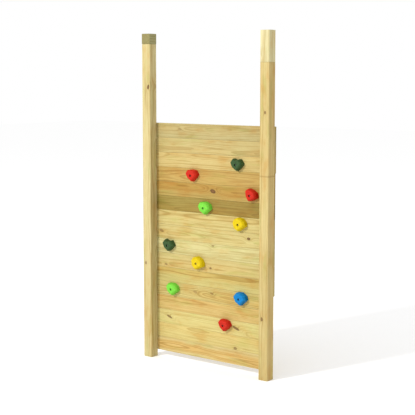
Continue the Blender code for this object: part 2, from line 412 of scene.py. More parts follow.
def timber_marks(start, solid, grain, seed, pith, knots):
    """All that the grain draws on one timber, as wires."""
    place = tree_place(start, solid, grain)
    marks = SimpleNamespace(place=place)
    for name, (spots, steps, detail, rough) in GRAIN_MARKS.items():
        setattr(marks, name, noise(place, spots, seeded(seed, steps), detail, rough))
    marks.knots = [(knot_reach(place, marks.streaks * KNOT_WOBBLE, knot), knot[-1]) for knot in knots]
    radius, angle = from_pith(place, pith, seed)
    radius = radius + marks.streaks * STREAK_PUSH
    for reach, strength in marks.knots:
        radius = radius + knot_swirl(reach, strength) * KNOT_PUSH
    ring = (radius / RING_WIDTH).math("FRACT")
    marks.radius = radius
    marks.late = rise(ring, *SUMMER) * (1 - rise(ring, *WINTER))
    marks.years = line_noise(radius * YEARS_PER_METRE + seed)
    split_width = line_noise(angle * CRACKS_PER_RADIAN + seed).math("ABSOLUTE")
    marks.cracks = 1 - rise(split_width, 0.0, CRACK_WIDTH)
    return marks


print("rings are", RING_WIDTH / MM, "mm wide")

# %% [markdown]
# The colour of a face comes in layers. Rings and lean years go first. Inside a certain ring lies the
# heartwood, which is redder, and the sapwood outside it has soaked up the green treatment in patches.
# Weather has left clouds on it, some tanned and some bleached. Streaks, lines and fibres lie over that,
# and the knots come last.

# %% Colour of a face
SPRING_SHARES = (1.14, 1.15, 1.18)
SUMMER_SHARES = (0.72, 0.62, 0.42)
YEAR_SWING = 1.6
LEAN_YEARS = (0.0, 0.25)
HEART_RADIUS = 58 * MM
HEART_EDGE = 10 * MM
HEART_WOBBLE = 30 * MM
HEART_RED = (0.95, 0.77, 0.54)
TREATED_GREEN = (0.80, 0.90, 0.68)
TANNED = (0.94, 0.78, 0.60)
BLEACHED = (1.06, 1.12, 1.20)
PALE_STREAK = (1.2198, 1.2305, 1.2626)
DARK_LINE = (0.648, 0.527, 0.336)
DARK_FIBRE = (0.66, 0.56, 0.40)
PLAIN_SHADE = (1.0, 1.0, 1.0)
# Each layer: its mark, the mark's high side 1 or low side -1, the levels where it starts and is full, how
# well it covers, and its shares of red, green and blue. Tints multiply the skin and covers hide it.
TINTS = (
    ("patches", 1, 0.02, 0.22, 0.70, TREATED_GREEN),
    ("clouds", 1, 0.00, 0.22, 0.80, TANNED),
    ("clouds", -1, 0.00, 0.22, 0.80, BLEACHED),
)
COVERS = (
    ("streaks", 1, 0.05, 0.24, 0.70, SUMMER_SHARES),
    ("streaks", -1, 0.06, 0.26, 0.60, PALE_STREAK),
    ("lines", 1, 0.10, 0.26, 0.45, DARK_LINE),
    ("fibres", 1, 0.03, 0.26, 0.42, DARK_FIBRE),
)


def lay_over(skin, marks, layers, colour, mode):
    """A skin with layers over it, in shares of a colour."""
    for name, side, start, full, cover, shares in layers:
        mark = getattr(marks, name)
        level = rise(mark if side > 0 else -mark, start, full)
        skin = mix(level * cover, skin, scaled(colour, *shares), mode)
    return skin


def face_colour(marks, colour, warmth, contrast):
    """The layered colour of a planed face; contrast is how dark the summer wood is."""
    pale = scaled(colour, *SPRING_SHARES)
    dark = scaled(colour, *SUMMER_SHARES)
    skin = mix(marks.late * (marks.years * YEAR_SWING + 1.0) * contrast, pale, dark)
    skin = mix(rise(marks.years, *LEAN_YEARS) * contrast, skin, dark)
    outside = marks.radius + marks.patches * HEART_WOBBLE
    heart = 1 - rise(outside, HEART_RADIUS - HEART_EDGE, HEART_RADIUS + HEART_EDGE)
    skin = mix(heart * warmth, skin, HEART_RED, "MULTIPLY")
    skin = lay_over(skin, marks, TINTS, PLAIN_SHADE, "MULTIPLY")
    skin = lay_over(skin, marks, COVERS, colour, "MIX")
    for reach, strength in marks.knots:
        skin = knot_skin(skin, reach, strength, colour)
    return skin


print("heartwood lies within", HEART_RADIUS / MM, "mm of the pith")

# %% [markdown]
# A timber has more than its planed faces. Its sawn ends drink more of the treatment, so they are darker
# and rougher and show the cracks. Its long edges are rubbed pale by hands and by the boards stacked on
# them. A darker band with ragged edges can lie across the grain.

# %% Wood finish
EDGE_WIDTH = 5.0 * MM
EDGE_RAGGED = 12 * MM
EDGE_WEAR = 0.45
EDGE_SHARES = (1.24, 1.24, 1.24)
BAND_RAGGED = 4 * MM
BAND_COVER = 0.55
BAND_SHARES = (0.60, 0.48, 0.32)
END_DEPTH = 1.0 * MM
END_COVER = 0.65
END_SPRING = (0.82, 0.74, 0.60)
END_SUMMER = (0.50, 0.40, 0.25)
CRACK_COVER = 0.55
CRACK_SHARES = (0.20, 0.15, 0.09)
# Roughness of plain wood, and what fibres, summer wood and a sawn end add to it.
WOOD_ROUGHNESS = (0.66, 0.22, -0.10, 0.15)
# Shares of the relief that summer wood, fibres and streaks make.
RELIEF_SHARES = (0.5, 0.8, 0.4)
RELIEF_STRENGTH = 0.35
WOOD_RELIEF = 0.6 * MM
WOOD_GLOSS = 0.20


def wood_finish(name, solid, grain, colour, seed, pith, knots, warmth, contrast, dark_bands=()):
    """Treated pine for one solid; each darker band across the grain is a place along it and half a width."""
    material, shader, start = new_finish(name)
    marks = timber_marks(start, solid, grain, seed, pith, knots)
    skin = face_colour(marks, colour, warmth, contrast)
    along, deep, across = (wire.math("ABSOLUTE") for wire in split(marks.place))
    half_length, half_depth, half_width = half_sizes(solid, grain)
    corner = (deep - half_depth).math("MINIMUM", across - half_width)
    worn = rise(corner + marks.streaks * EDGE_RAGGED, -EDGE_WIDTH, 0.0) * EDGE_WEAR
    skin = mix(worn, skin, scaled(colour, *EDGE_SHARES))
    # Each darker band across the grain darkens the skin, with ragged edges.
    for band_along, band_half in dark_bands:
        off = (split(marks.place)[0] - band_along + marks.streaks * BAND_RAGGED).math("ABSOLUTE")
        skin = mix((1 - rise(off, 0.0, band_half)) * BAND_COVER, skin, scaled(colour, *BAND_SHARES))

    end = rise(along, half_length - END_DEPTH, half_length - END_DEPTH / 2)
    sawn = mix(marks.late, scaled(colour, *END_SPRING), scaled(colour, *END_SUMMER))
    sawn = mix(marks.cracks * CRACK_COVER, sawn, scaled(colour, *CRACK_SHARES))
    feed(mix(end * END_COVER, skin, sawn), shader["Base Color"])
    plain, fibre_part, late_part, end_part = WOOD_ROUGHNESS
    feed(plain + marks.fibres * fibre_part + marks.late * late_part + end * end_part, shader["Roughness"])
    late_part, fibre_part, streak_part = RELIEF_SHARES
    relief = marks.late * late_part + marks.fibres * fibre_part + marks.streaks * streak_part
    feed_relief(relief - end * marks.cracks, RELIEF_STRENGTH, WOOD_RELIEF, shader)
    shader["Specular IOR Level"].default_value = WOOD_GLOSS
    return material


print("wood relief is up to", WOOD_RELIEF / MM, "mm deep")

# %% [markdown]
# ## Zinc
# Zinc plate is a pale metal, a little blue, with a soft spangle, fine scratches and no sharp reflections.

# %% Zinc finish
ZINC_DARK = (0.38, 0.39, 0.40)
ZINC_PALE = (0.54, 0.54, 0.54)
SPANGLE_SPOTS = (420, 420, 420)
SPANGLE_EDGE = 0.2
SCRATCH_SPOTS = (260, 2400, 1900)
SCRATCH_PLACE = (3, 1, 2)
# Roughness of plain zinc, and what spangle and scratches add to it.
ZINC_ROUGHNESS = (0.46, 0.18, 0.16)
SCRATCH_STRENGTH = 0.15
SCRATCH_DEPTH = 0.1 * MM
# A noise that starts at no place of its own.
HERE = (0, 0, 0)


def zinc_finish():
    material, shader, start = new_finish("zinc plate")
    place = start.node("ShaderNodeTexCoord", out="Object")
    spangle = noise(place, SPANGLE_SPOTS, HERE)
    scratches = noise(place, SCRATCH_SPOTS, SCRATCH_PLACE, detail=3.0)
    feed(mix(rise(spangle, -SPANGLE_EDGE, SPANGLE_EDGE), ZINC_DARK, ZINC_PALE), shader["Base Color"])
    plain, spangle_part, scratch_part = ZINC_ROUGHNESS
    feed(plain + spangle * spangle_part + scratches * scratch_part, shader["Roughness"])
    feed_relief(scratches, SCRATCH_STRENGTH, SCRATCH_DEPTH, shader)
    shader["Metallic"].default_value = 1.0
    return material


zinc = zinc_finish()
print(zinc.name, "has", len(zinc.node_tree.nodes), "nodes")

# %% [markdown]
# ## Working in edit mode
# Modelling by hand is a rhythm: pick some edges or faces, then use a tool on them. In a script the
# picking is a question asked of every edge or face, about its place or its direction. A new primitive
# comes selected all over, so each pick first clears what was selected.

# %% Adding and picking
ALONG_SHARE = 0.99


def make_active(piece):
    bpy.ops.object.select_all(action="DESELECT")
    piece.select_set(True)
    bpy.context.view_layer.objects.active = piece


def add_alone(operator, name, **settings):
    """Add a primitive with nothing else selected, named, with its place kept in its mesh."""
    bpy.ops.object.select_all(action="DESELECT")
    operator(**settings)
    piece = bpy.context.object
    piece.name = name
    piece.data.name = name
    bpy.ops.object.transform_apply(location=True, rotation=True, scale=True)
    return piece


def pick(piece, kind, wanted):
    """In edit mode, select only the corners, edges or faces that the question wanted says yes to."""
    bpy.ops.mesh.select_mode(type=kind)
    bpy.ops.mesh.select_all(action="DESELECT")
    edit = bmesh.from_edit_mesh(piece.data)
    for element in {"VERT": edit.verts, "EDGE": edit.edges, "FACE": edit.faces}[kind]:
        if wanted(element):
            element.select_set(True)
    edit.select_flush_mode()
    bmesh.update_edit_mesh(piece.data)


def runs_along(edge, axis):
    """Whether an edge keeps to one axis, 0 to 2."""
    way = edge.verts[1].co - edge.verts[0].co
    return abs(way[axis]) > ALONG_SHARE * way.length


print("picking ready")

# %% [markdown]
# Cuts and rough skins come from modifiers. Each is applied as soon as it is set, so that the next step
# works on a plain mesh. A finished piece then gets its material and the body that it rides on, and the
# solids that it stands for are hidden.

# %% Modifiers and finishing
def apply_modifier(piece, kind, **settings):
    make_active(piece)
    modifier = piece.modifiers.new(kind.lower(), kind)
    for key, value in settings.items():
        setattr(modifier, key, value)
    bpy.ops.object.modifier_apply(modifier=modifier.name)


def combine(piece, tool, operation):
    """Cut a tool's shape out of a piece, or weld it on, and throw the tool away."""
    apply_modifier(piece, "BOOLEAN", operation=operation, object=tool, solver="EXACT")
    bpy.data.objects.remove(tool, do_unlink=True)


def roughen(piece, size, depth):
    """Push the skin in and out by up to half of depth, in soft clouds of a size."""
    clouds = bpy.data.textures.new(f"clouds {size:.4f}", "CLOUDS")
    clouds.noise_scale = size
    apply_modifier(
        piece, "DISPLACE", texture=clouds, texture_coords="LOCAL", strength=depth, mid_level=0.5)


def shade_smooth(piece, degrees):
    make_active(piece)
    bpy.ops.object.shade_smooth_by_angle(angle=math.radians(degrees))


def finish_piece(piece, material, slot, *nodes):
    piece.data.materials.clear()
    piece.data.materials.append(material)
    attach(piece, "root")
    if nodes:
        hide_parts(*nodes)


print("modifiers and finishing ready")

# %% [markdown]
# ## Fixings, modelled once
# Bolts, nuts and screws repeat, so one of each is modelled about the Z axis and copied to its places. A
# lathe would turn them from a profile, and so could a spin. Here a cone is grown ring by ring: its top
# face is extruded, then drawn in or out, which gives closed ends without a seam.

# %% Turning
TOP_FACING = 0.99


def turn_piece(name, sides, rings):
    """A turned piece: each ring is a radius and a height, from bottom to top."""
    (radius, low), (next_radius, height) = rings[0], rings[1]
    piece = add_alone(
        bpy.ops.mesh.primitive_cone_add, name, vertices=sides, radius1=radius, radius2=next_radius,
        depth=height - low, location=(0, 0, (low + height) / 2))
    bpy.ops.object.mode_set(mode="EDIT")
    pick(piece, "FACE", lambda face: len(face.verts) == sides and face.normal.z > TOP_FACING)
    radius = next_radius
    for next_radius, next_height in rings[2:]:
        bpy.ops.mesh.extrude_region_move(TRANSFORM_OT_translate={"value": (0, 0, next_height - height)})
        share = next_radius / radius
        bpy.ops.transform.resize(value=(share, share, 1.0), center_override=(0, 0, next_height))
        radius, height = next_radius, next_height
    bpy.ops.object.mode_set(mode="OBJECT")
    return piece


print("turning ready")

# %% [markdown]
# The hold bolt has a round head with a six-sided socket. The head's side is knurled for the fingers: each
# of its faces is inset and pushed in a little, which leaves a fine ridge between neighbours.

# %% Bolt pattern
HOLD_NAMES = (
    "green_upper", "red_upper", "red_side", "lime_upper", "yellow_upper",
    "green_lower", "yellow_lower", "lime_lower", "blue", "red_lower")
BOLT_SIDES = 36
BOLT_RADIUS = 4.0 * MM
BOLT_TIP = 0.8 * MM
BOLT_HEAD_RADIUS = 6.5 * MM
BOLT_HEAD_HEIGHT = 8.0 * MM
# Insets and heights of the rounding at the head's foot and of the two steps at its top.
HEAD_FOOT = Vector((0.4, 0.5)) * MM
HEAD_BROW = Vector((0.25, 0.25)) * MM
HEAD_CHAMFER = 0.8 * MM
HEAD_SIDE_FACING = 0.1
HEAD_SIDE_SHARE = 0.9
KNURL_EDGE = 0.18 * MM
KNURL_DEPTH = 0.12 * MM
SOCKET_SIDES = 6
SOCKET_RADIUS = 3.46 * MM
SOCKET_DEPTH = 4.0 * MM
SOCKET_EASING = 0.3 * MM
FIXING_SMOOTHING = 35

bolt_low, bolt_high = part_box(f"hold_bolt_{HOLD_NAMES[0]}")
bolt_tip = BOLT_HEAD_HEIGHT - (bolt_high.y - bolt_low.y)
bolt = turn_piece("bolt pattern", BOLT_SIDES, (
    (BOLT_RADIUS - BOLT_TIP, bolt_tip),
    (BOLT_RADIUS, bolt_tip + BOLT_TIP),
    (BOLT_RADIUS, 0.0),
    (BOLT_HEAD_RADIUS - HEAD_FOOT.x, 0.0),
    (BOLT_HEAD_RADIUS, HEAD_FOOT.y),
    (BOLT_HEAD_RADIUS, BOLT_HEAD_HEIGHT - HEAD_CHAMFER),
    (BOLT_HEAD_RADIUS - HEAD_BROW.x, BOLT_HEAD_HEIGHT - HEAD_BROW.y),
    (BOLT_HEAD_RADIUS - HEAD_CHAMFER, BOLT_HEAD_HEIGHT)))


def on_head_side(face):
    outside = face.calc_center_median().xy.length > HEAD_SIDE_SHARE * BOLT_HEAD_RADIUS
    return outside and abs(face.normal.z) < HEAD_SIDE_FACING


bpy.ops.object.mode_set(mode="EDIT")
pick(bolt, "FACE", on_head_side)
bpy.ops.mesh.inset(thickness=KNURL_EDGE, depth=-KNURL_DEPTH, use_individual=True)
bpy.ops.object.mode_set(mode="OBJECT")
combine(bolt, turn_piece("socket cutter", SOCKET_SIDES, (
    (SOCKET_RADIUS, BOLT_HEAD_HEIGHT - SOCKET_DEPTH),
    (SOCKET_RADIUS, BOLT_HEAD_HEIGHT - SOCKET_EASING),
    (SOCKET_RADIUS + 2 * SOCKET_EASING, BOLT_HEAD_HEIGHT + SOCKET_EASING))), "DIFFERENCE")
shade_smooth(bolt, FIXING_SMOOTHING)
print(bolt.name, len(bolt.data.polygons), "faces")

# %% [markdown]
# The T-nut behind each hold is pressed from sheet. A barrel stands on a round flange, and four prongs are
# cut from the flange's edge and bent over, so that they bite into the board and leave four notches.

# %% T-nut pattern
NUT_SIDES = 48
NUT_FLANGE_RADIUS = 11.5 * MM
NUT_FLANGE_THICK = 1.7 * MM
NUT_BARREL_RADIUS = 5.0 * MM
NUT_BARREL_LENGTH = 11.0 * MM
NUT_BORE_RADIUS = 4.3 * MM
NUT_EASING = 0.5 * MM
CUT_SPARE = 0.1 * MM
NOTCH_COUNT = 4
NOTCH_SIZE = Vector((6.0, 3.8, 10.0)) * MM
PRONG_SIZE = Vector((1.4, 3.4, 7.0)) * MM
PRONG_TIP = 0.15
PRONG_ROOT = 0.8 * MM

nut = turn_piece("nut pattern", NUT_SIDES, (
    (NUT_FLANGE_RADIUS - NUT_EASING, -NUT_FLANGE_THICK),
    (NUT_FLANGE_RADIUS, NUT_EASING - NUT_FLANGE_THICK),
    (NUT_FLANGE_RADIUS, 0.0),
    (NUT_BARREL_RADIUS, 0.0),
    (NUT_BARREL_RADIUS, NUT_BARREL_LENGTH)))
combine(nut, turn_piece("bore cutter", NUT_SIDES, (
    (NUT_BORE_RADIUS + NUT_EASING, -NUT_FLANGE_THICK - CUT_SPARE),
    (NUT_BORE_RADIUS, NUT_EASING - NUT_FLANGE_THICK),
    (NUT_BORE_RADIUS, NUT_BARREL_LENGTH + NUT_EASING))), "DIFFERENCE")
prong_radius = NUT_FLANGE_RADIUS - (NOTCH_SIZE.x + PRONG_SIZE.x) / 2
for step in range(NOTCH_COUNT):
    angle = step * 2 * math.pi / NOTCH_COUNT
    outwards = Vector((math.cos(angle), math.sin(angle), 0))
    combine(nut, add_alone(
        bpy.ops.mesh.primitive_cube_add, "notch cutter", size=1.0, rotation=(0, 0, angle),
        location=outwards * NUT_FLANGE_RADIUS, scale=NOTCH_SIZE), "DIFFERENCE")
    foot = outwards * prong_radius
    prong = add_alone(
        bpy.ops.mesh.primitive_cube_add, "prong", size=1.0, rotation=(0, 0, angle), scale=PRONG_SIZE,
        location=foot + Vector((0, 0, PRONG_SIZE.z / 2 - PRONG_ROOT)))
    bpy.ops.object.mode_set(mode="EDIT")
    pick(prong, "FACE", lambda face: face.normal.z > TOP_FACING)
    bpy.ops.transform.resize(value=(PRONG_TIP, PRONG_TIP, 1.0), center_override=foot)
    bpy.ops.object.mode_set(mode="OBJECT")
    combine(nut, prong, "UNION")
shade_smooth(nut, FIXING_SMOOTHING)
print(nut.name, len(nut.data.polygons), "faces")

# %% [markdown]
# The screws are countersunk, with a six-lobed drive. The drive's cutter is a twelve-sided prism whose
# every second corner is drawn towards the middle. Short screws hold the boards and long ones go down
# through the left post's head.

# %% Screw patterns
SCREW_SIDES = 24
SCREW_POINT = 0.2 * MM
SCREW_TAPER = 6.0 * MM
SCREW_NECK = 3.2 * MM
SCREW_HEAD_RADIUS = 4.7 * MM
# Inset and depth of the rounding under the head's rim, and the rim's own depth.
SCREW_ROUND = Vector((0.3, 0.5)) * MM
SCREW_RIM = 0.2 * MM
SCREW_SHANK_RADIUS = 2.0 * MM
BOARD_SCREW_LENGTH = 56 * MM
HEAD_SCREW_LENGTH = 120 * MM
DRIVE_LOBES = 6
DRIVE_RADIUS = 2.3 * MM
DRIVE_DEPTH = 2.2 * MM
DRIVE_HOLLOW = 0.70


def between_lobes(corner):
    """Whether a corner of the drive's cutter is one of every second corner."""
    step = math.pi / DRIVE_LOBES
    return round(math.atan2(corner.co.x, corner.co.y) / step) % 2 == 1


def turn_screw(name, length):
    screw = turn_piece(name, SCREW_SIDES, (
        (SCREW_POINT, -length),
        (SCREW_SHANK_RADIUS, SCREW_TAPER - length),
        (SCREW_SHANK_RADIUS, -SCREW_NECK),
        (SCREW_HEAD_RADIUS - SCREW_ROUND.x, -SCREW_ROUND.y),
        (SCREW_HEAD_RADIUS, -SCREW_RIM),
        (SCREW_HEAD_RADIUS, 0.0)))
    drive = add_alone(
        bpy.ops.mesh.primitive_cylinder_add, "drive cutter", vertices=2 * DRIVE_LOBES,
        radius=DRIVE_RADIUS, depth=2 * DRIVE_DEPTH)
    bpy.ops.object.mode_set(mode="EDIT")
    pick(drive, "VERT", between_lobes)
    bpy.ops.transform.resize(value=(DRIVE_HOLLOW, DRIVE_HOLLOW, 1.0), center_override=(0, 0, 0))
    bpy.ops.object.mode_set(mode="OBJECT")
    combine(screw, drive, "DIFFERENCE")
    shade_smooth(screw, FIXING_SMOOTHING)
    return screw


board_screw = turn_screw("board screw pattern", BOARD_SCREW_LENGTH)
head_screw = turn_screw("head screw pattern", HEAD_SCREW_LENGTH)
print(board_screw.name, len(board_screw.data.polygons), "faces")

# %% [markdown]
# A copy of a pattern gets a mesh of its own. It is turned about its own axis, so that no two sockets sit
# alike, and then its axis is swung to face the way that the fixing faces. Its place goes into its mesh.

# %% Copying and joining
# Each way: the turn about the X axis that brings the Z axis round to it.
FACING_TURNS = {"-Y": math.pi / 2, "+Y": -math.pi / 2, "+Z": 0.0}


def place_copy(source, name, spot, facing, turn=0.0):
    piece = source.copy()
    piece.data = source.data.copy()
    piece.name = name
    piece.data.name = name
    bpy.context.collection.objects.link(piece)
    swing = Matrix.Rotation(FACING_TURNS[facing], 4, "X")
    piece.matrix_world = Matrix.Translation(spot) @ swing @ Matrix.Rotation(turn, 4, "Z")
    make_active(piece)
    bpy.ops.object.transform_apply(location=True, rotation=True, scale=True)
    return piece


def join_pieces(pieces, name):
    bpy.ops.object.select_all(action="DESELECT")
    for piece in pieces:
        piece.select_set(True)
    bpy.context.view_layer.objects.active = pieces[0]
    bpy.ops.object.join()
    pieces[0].name = name
    pieces[0].data.name = name
    return pieces[0]


def middle(node):
    low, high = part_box(node)
    return (low + high) / 2


print("copying ready")

# %% [markdown]
# The same fixings need holes. A drill bit is a turned piece too, a hair wider than its screw, and all the
# bits of one board are joined and cut away in one go, which is quicker than a cut for each hole.

# %% Drilling
BIT_REACH = 90 * MM
BIT_CLEARANCE = 0.2 * MM
SEAT_CLEARANCE = 0.3 * MM
SINK_DEPTH = 0.4 * MM
SINK_MOUTH = 2 * MM
NUT_HOLE_RADIUS = 5.5 * MM
NUT_BIT_REACH = 30 * MM

screw_bit = turn_piece("screw bit", SCREW_SIDES, (
    (SCREW_SHANK_RADIUS + BIT_CLEARANCE, -BIT_REACH),
    (SCREW_SHANK_RADIUS + BIT_CLEARANCE, -SCREW_NECK),
    (SCREW_HEAD_RADIUS + SEAT_CLEARANCE, -SINK_DEPTH),
    (SCREW_HEAD_RADIUS + 2 * SEAT_CLEARANCE, SINK_MOUTH)))
nut_bit = turn_piece("nut bit", SCREW_SIDES, (
    (NUT_HOLE_RADIUS, -NUT_BIT_REACH),
    (NUT_HOLE_RADIUS, NUT_BIT_REACH)))


def drill(piece, holes):
    """Drill a piece: each hole is a bit, a spot and the way that its mouth faces."""
    bits = [place_copy(bit, "bit placed", spot, facing) for bit, spot, facing in holes]
    combine(piece, join_pieces(bits, "bits placed"), "DIFFERENCE")


print("screw holes are", 2 * (SCREW_SHANK_RADIUS + BIT_CLEARANCE) / MM, "mm wide")

# %% [markdown]
# ## Timbers
# Posts and boards are planed lengths whose long edges are rounded by the planer, while their ends are
# left as the saw left them. A box with bevelled edges would do from afar. Here the box is also cut
# into short steps along and across, so that its skin can rise and fall by a fraction of a millimetre,
# which is what keeps planed timber from looking like plastic.

# %% One timber
END_EASING = 0.7 * MM
END_STEPS = 2
EASING_STEPS = 4
STEP_LENGTH = 30 * MM
WARP_SIZE = 160 * MM
WARP_DEPTH = 0.5 * MM
SHARP_TURN = 1.0
TIMBER_SMOOTHING = 40


def plane_timber(name, solid, grain, easing, cuts_across):
    low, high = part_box(solid)
    axis = "XYZ".index(grain)
    length = (high - low)[axis]
    piece = add_alone(
        bpy.ops.mesh.primitive_cube_add, name, size=1.0, location=(low + high) / 2, scale=high - low)
    bpy.ops.object.mode_set(mode="EDIT")
    pick(piece, "EDGE", lambda edge: not runs_along(edge, axis))
    bpy.ops.mesh.subdivide(number_cuts=cuts_across)
    pick(piece, "EDGE", lambda edge: runs_along(edge, axis) and edge.calc_face_angle(0.0) > SHARP_TURN)
    bpy.ops.mesh.bevel(offset=easing, segments=EASING_STEPS, profile=0.5, affect="EDGES")
    pick(piece, "EDGE", lambda edge: not runs_along(edge, axis) and edge.calc_face_angle(0.0) > SHARP_TURN)
    bpy.ops.mesh.bevel(offset=END_EASING, segments=END_STEPS, profile=0.5, affect="EDGES")
    pick(piece, "EDGE", lambda edge: runs_along(edge, axis) and edge.calc_length() > length / 2)
    bpy.ops.mesh.subdivide(number_cuts=round(length / STEP_LENGTH))
    bpy.ops.object.mode_set(mode="OBJECT")
    roughen(piece, WARP_SIZE, WARP_DEPTH)
    return piece


print("planed timber in steps of", STEP_LENGTH / MM, "mm")

# %% [markdown]
# The posts are 70 mm square. Each has a short head on top: on the left the end of a timber lying front
# to back, so that its end grain faces the climber, and on the right a short upright one.

# %% Posts and heads
POST_EASING = 4.5 * MM
POST_CUTS = 4
POST_WARMTH = 0.30
POST_CONTRAST = 0.50
HEAD_SCREW_OFFSET = 16 * MM
LEFT_KNOTS = ((0.80, -0.020, 0.009, 0.3, 1.0), (-0.42, 0.012, 0.007, 0.0, 0.7))
RIGHT_KNOTS = ((-0.62, 0.010, 0.008, -0.2, 0.8), (0.71, -0.006, 0.006, 0.0, 0.8))
# The right post's darker band across its grain: its place along the grain and half its width.
RIGHT_DARK_BANDS = ((0.305, 0.009),)
# Each timber: grain, slot, tone, seed, pith, knots and darker bands across the grain.
POSTS = {
    "left_post": ("Z", "post_timber", tone(228, 209, 147), 1.0, (0.030, 0.052), LEFT_KNOTS, ()),
    "right_post": ("Z", "post_timber", tone(227, 203, 135), 2.0, (0.024, -0.050), RIGHT_KNOTS, RIGHT_DARK_BANDS),
    "left_post_head": ("Y", "left_head_timber", tone(179, 174, 121), 3.0, (0.022, 0.060), (), ()),
    "right_post_head": ("Z", "right_head_timber", tone(239, 227, 173), 4.0, (0.041, 0.020), (), ()),
}


def head_screw_spots():
    """Two screws in the top of the left head, side by side."""
    spot = middle("left_post_head")
    spot.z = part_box("left_post_head")[1].z
    return [spot + Vector((side * HEAD_SCREW_OFFSET, 0, 0)) for side in (-1, 1)]


for node, (grain, slot, colour, seed, pith, knots, dark_bands) in POSTS.items():
    timber = plane_timber(f"{node}_timber", node, grain, POST_EASING, POST_CUTS)
    if node == "left_post_head":
        drill(timber, [(screw_bit, spot, "+Z") for spot in head_screw_spots()])
    shade_smooth(timber, TIMBER_SMOOTHING)
    wood = wood_finish(
        f"{node} wood", node, grain, colour, seed, pith, knots, POST_WARMTH, POST_CONTRAST, dark_bands)
    finish_piece(timber, wood, slot, node)
    print(timber.name, len(timber.data.polygons), "faces")

# %% [markdown]
# ## Boards
# Sixteen boards, each its own wood. The tones come in runs, as boards from one bundle do: pale at the
# top, two warm ones, one brown one, then pale and warm in turn. The knots that show in the photograph are
# set where it shows them.

# %% Tones and knots of the boards
BOARD_COUNT = 16
# Each run: its last board, its slot, its tone, how warm its heartwood is and how strong its rings are.
BOARD_RUNS = (
    (3, "pale_board", tone(213, 192, 126), 0.35, 0.52),
    (5, "warm_board", tone(203, 170, 94), 0.85, 0.58),
    (6, "brown_board", tone(171, 148, 72), 0.50, 0.52),
    (8, "pale_board", tone(226, 206, 133), 0.35, 0.50),
    (9, "pale_board", tone(227, 214, 147), 0.35, 0.50),
    (10, "pale_board", tone(225, 205, 134), 0.35, 0.50),
    (11, "warm_board", tone(222, 206, 129), 0.75, 0.54),
    (12, "warm_board", tone(224, 204, 130), 0.85, 0.72),
    (13, "warm_board", tone(231, 199, 123), 0.75, 0.54),
    (15, "pale_board", tone(234, 213, 135), 0.25, 0.50),
    (16, "warm_board", tone(240, 219, 152), 0.95, 0.80),
)
# Boards of another shade than their run: their shares of its red, green and blue.
BOARD_SHADES = {
    1: (0.92, 0.96, 1.04),
    3: (1.11, 1.07, 1.02),
    4: (1.05, 1.03, 1.03),
    5: (0.99, 1.04, 1.05),
    8: (1.00, 1.03, 1.07),
    14: (1.00, 1.04, 1.07),
}
# Each knot: board, distance right of the wall's middle, height above the board's middle, radius, lean
# and strength.
BOARD_KNOTS = (
    (1, -0.250, 0.010, 0.007, 0.5, 0.35),
    (5, 0.031, 0.005, 0.012, 0.3, 1.00),
    (8, -0.418, 0.003, 0.010, 0.4, 0.55),
    (8, 0.326, 0.012, 0.008, 0.0, 1.00),
    (9, 0.031, 0.036, 0.007, 0.0, 0.45),
    (10, -0.379, -0.031, 0.007, 0.3, 0.55),
    (10, 0.011, -0.018, 0.006, 0.0, 0.80),
    (12, -0.120, 0.004, 0.010, 0.4, 0.35),
    (12, 0.022, 0.010, 0.008, 0.5, 0.45),
    (14, -0.350, 0.000, 0.010, 1.0, 0.80),
    (14, 0.225, 0.000, 0.012, 1.0, 0.85),
    (15, 0.220, -0.038, 0.009, 0.0, 0.65),
)
BOARD_SEED = 10.0
# The pith behind a board: its least depth and offset, a step for each kind, and how many kinds there are.
PITH_DEEP = (34 * MM, 6 * MM, 5)
PITH_ASIDE = (12 * MM, 7 * MM, 4)


def stepped(number, least, step, kinds):
    return least + step * (number % kinds)


def board_wood(number):
    """A board's slot and its own wood: its run's tone, its knots and a pith that moves about."""
    node = f"plank_{number:02d}"
    _, slot, colour, warmth, contrast = next(run for run in BOARD_RUNS if number <= run[0])
    shade = BOARD_SHADES.get(number, PLAIN_SHADE)
    knots = [(x - middle(node).x, *mark) for board, x, *mark in BOARD_KNOTS if board == number]
    side = 1 if number % 2 else -1
    pith = (stepped(number, *PITH_DEEP), side * stepped(number, *PITH_ASIDE))
    return slot, wood_finish(
        f"board wood {number:02d}", node, "X", scaled(colour, *shade), BOARD_SEED + number,
        pith, knots, warmth, contrast)


print(len(BOARD_RUNS), "runs of boards,", len(BOARD_KNOTS), "knots")

# %% [markdown]
# Each board is planed, then drilled from behind: a countersunk hole for each screw, two at each post, and
# a clear hole for the barrel of each T-nut that sits on it.

# %% Boards in place
BOARD_EASING = 1.6 * MM
BOARD_CUTS = 5
SCREW_OFFSET = 26 * MM


def screw_spots(number, post):
    """Two screws of one board on one post: where their heads lie flush with the board's back."""
    spot = middle(f"plank_{number:02d}")
    spot.x = middle(post).x
    spot.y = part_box(f"plank_{number:02d}")[1].y
    return [spot + Vector((0, 0, side * SCREW_OFFSET)) for side in (-1, 1)]


for number in range(1, BOARD_COUNT + 1):
    node = f"plank_{number:02d}"
    low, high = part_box(node)
    board = plane_timber(f"board_{number:02d}", node, "X", BOARD_EASING, BOARD_CUTS)
    holes = []
    for post in ("left_post", "right_post"):
        holes += [(screw_bit, spot, "+Y") for spot in screw_spots(number, post)]
    nut_spots = [middle(f"t_nut_{name}") for name in HOLD_NAMES]
    holes += [(nut_bit, spot, "+Y") for spot in nut_spots if low.z < spot.z < high.z]
    drill(board, holes)
    shade_smooth(board, TIMBER_SMOOTHING)
    slot, wood = board_wood(number)
    finish_piece(board, wood, slot, node)
    print(board.name, len(holes), "holes,", len(board.data.polygons), "faces")

# %% [markdown]
# The screws are copies of their patterns, joined into one piece for each row, since a row is all one finish
# and none of them moves.

# %% Screws in place
# Radians of turn for each metre that a screw is away, so that neighbours point different ways.
SCREW_TURN = 40


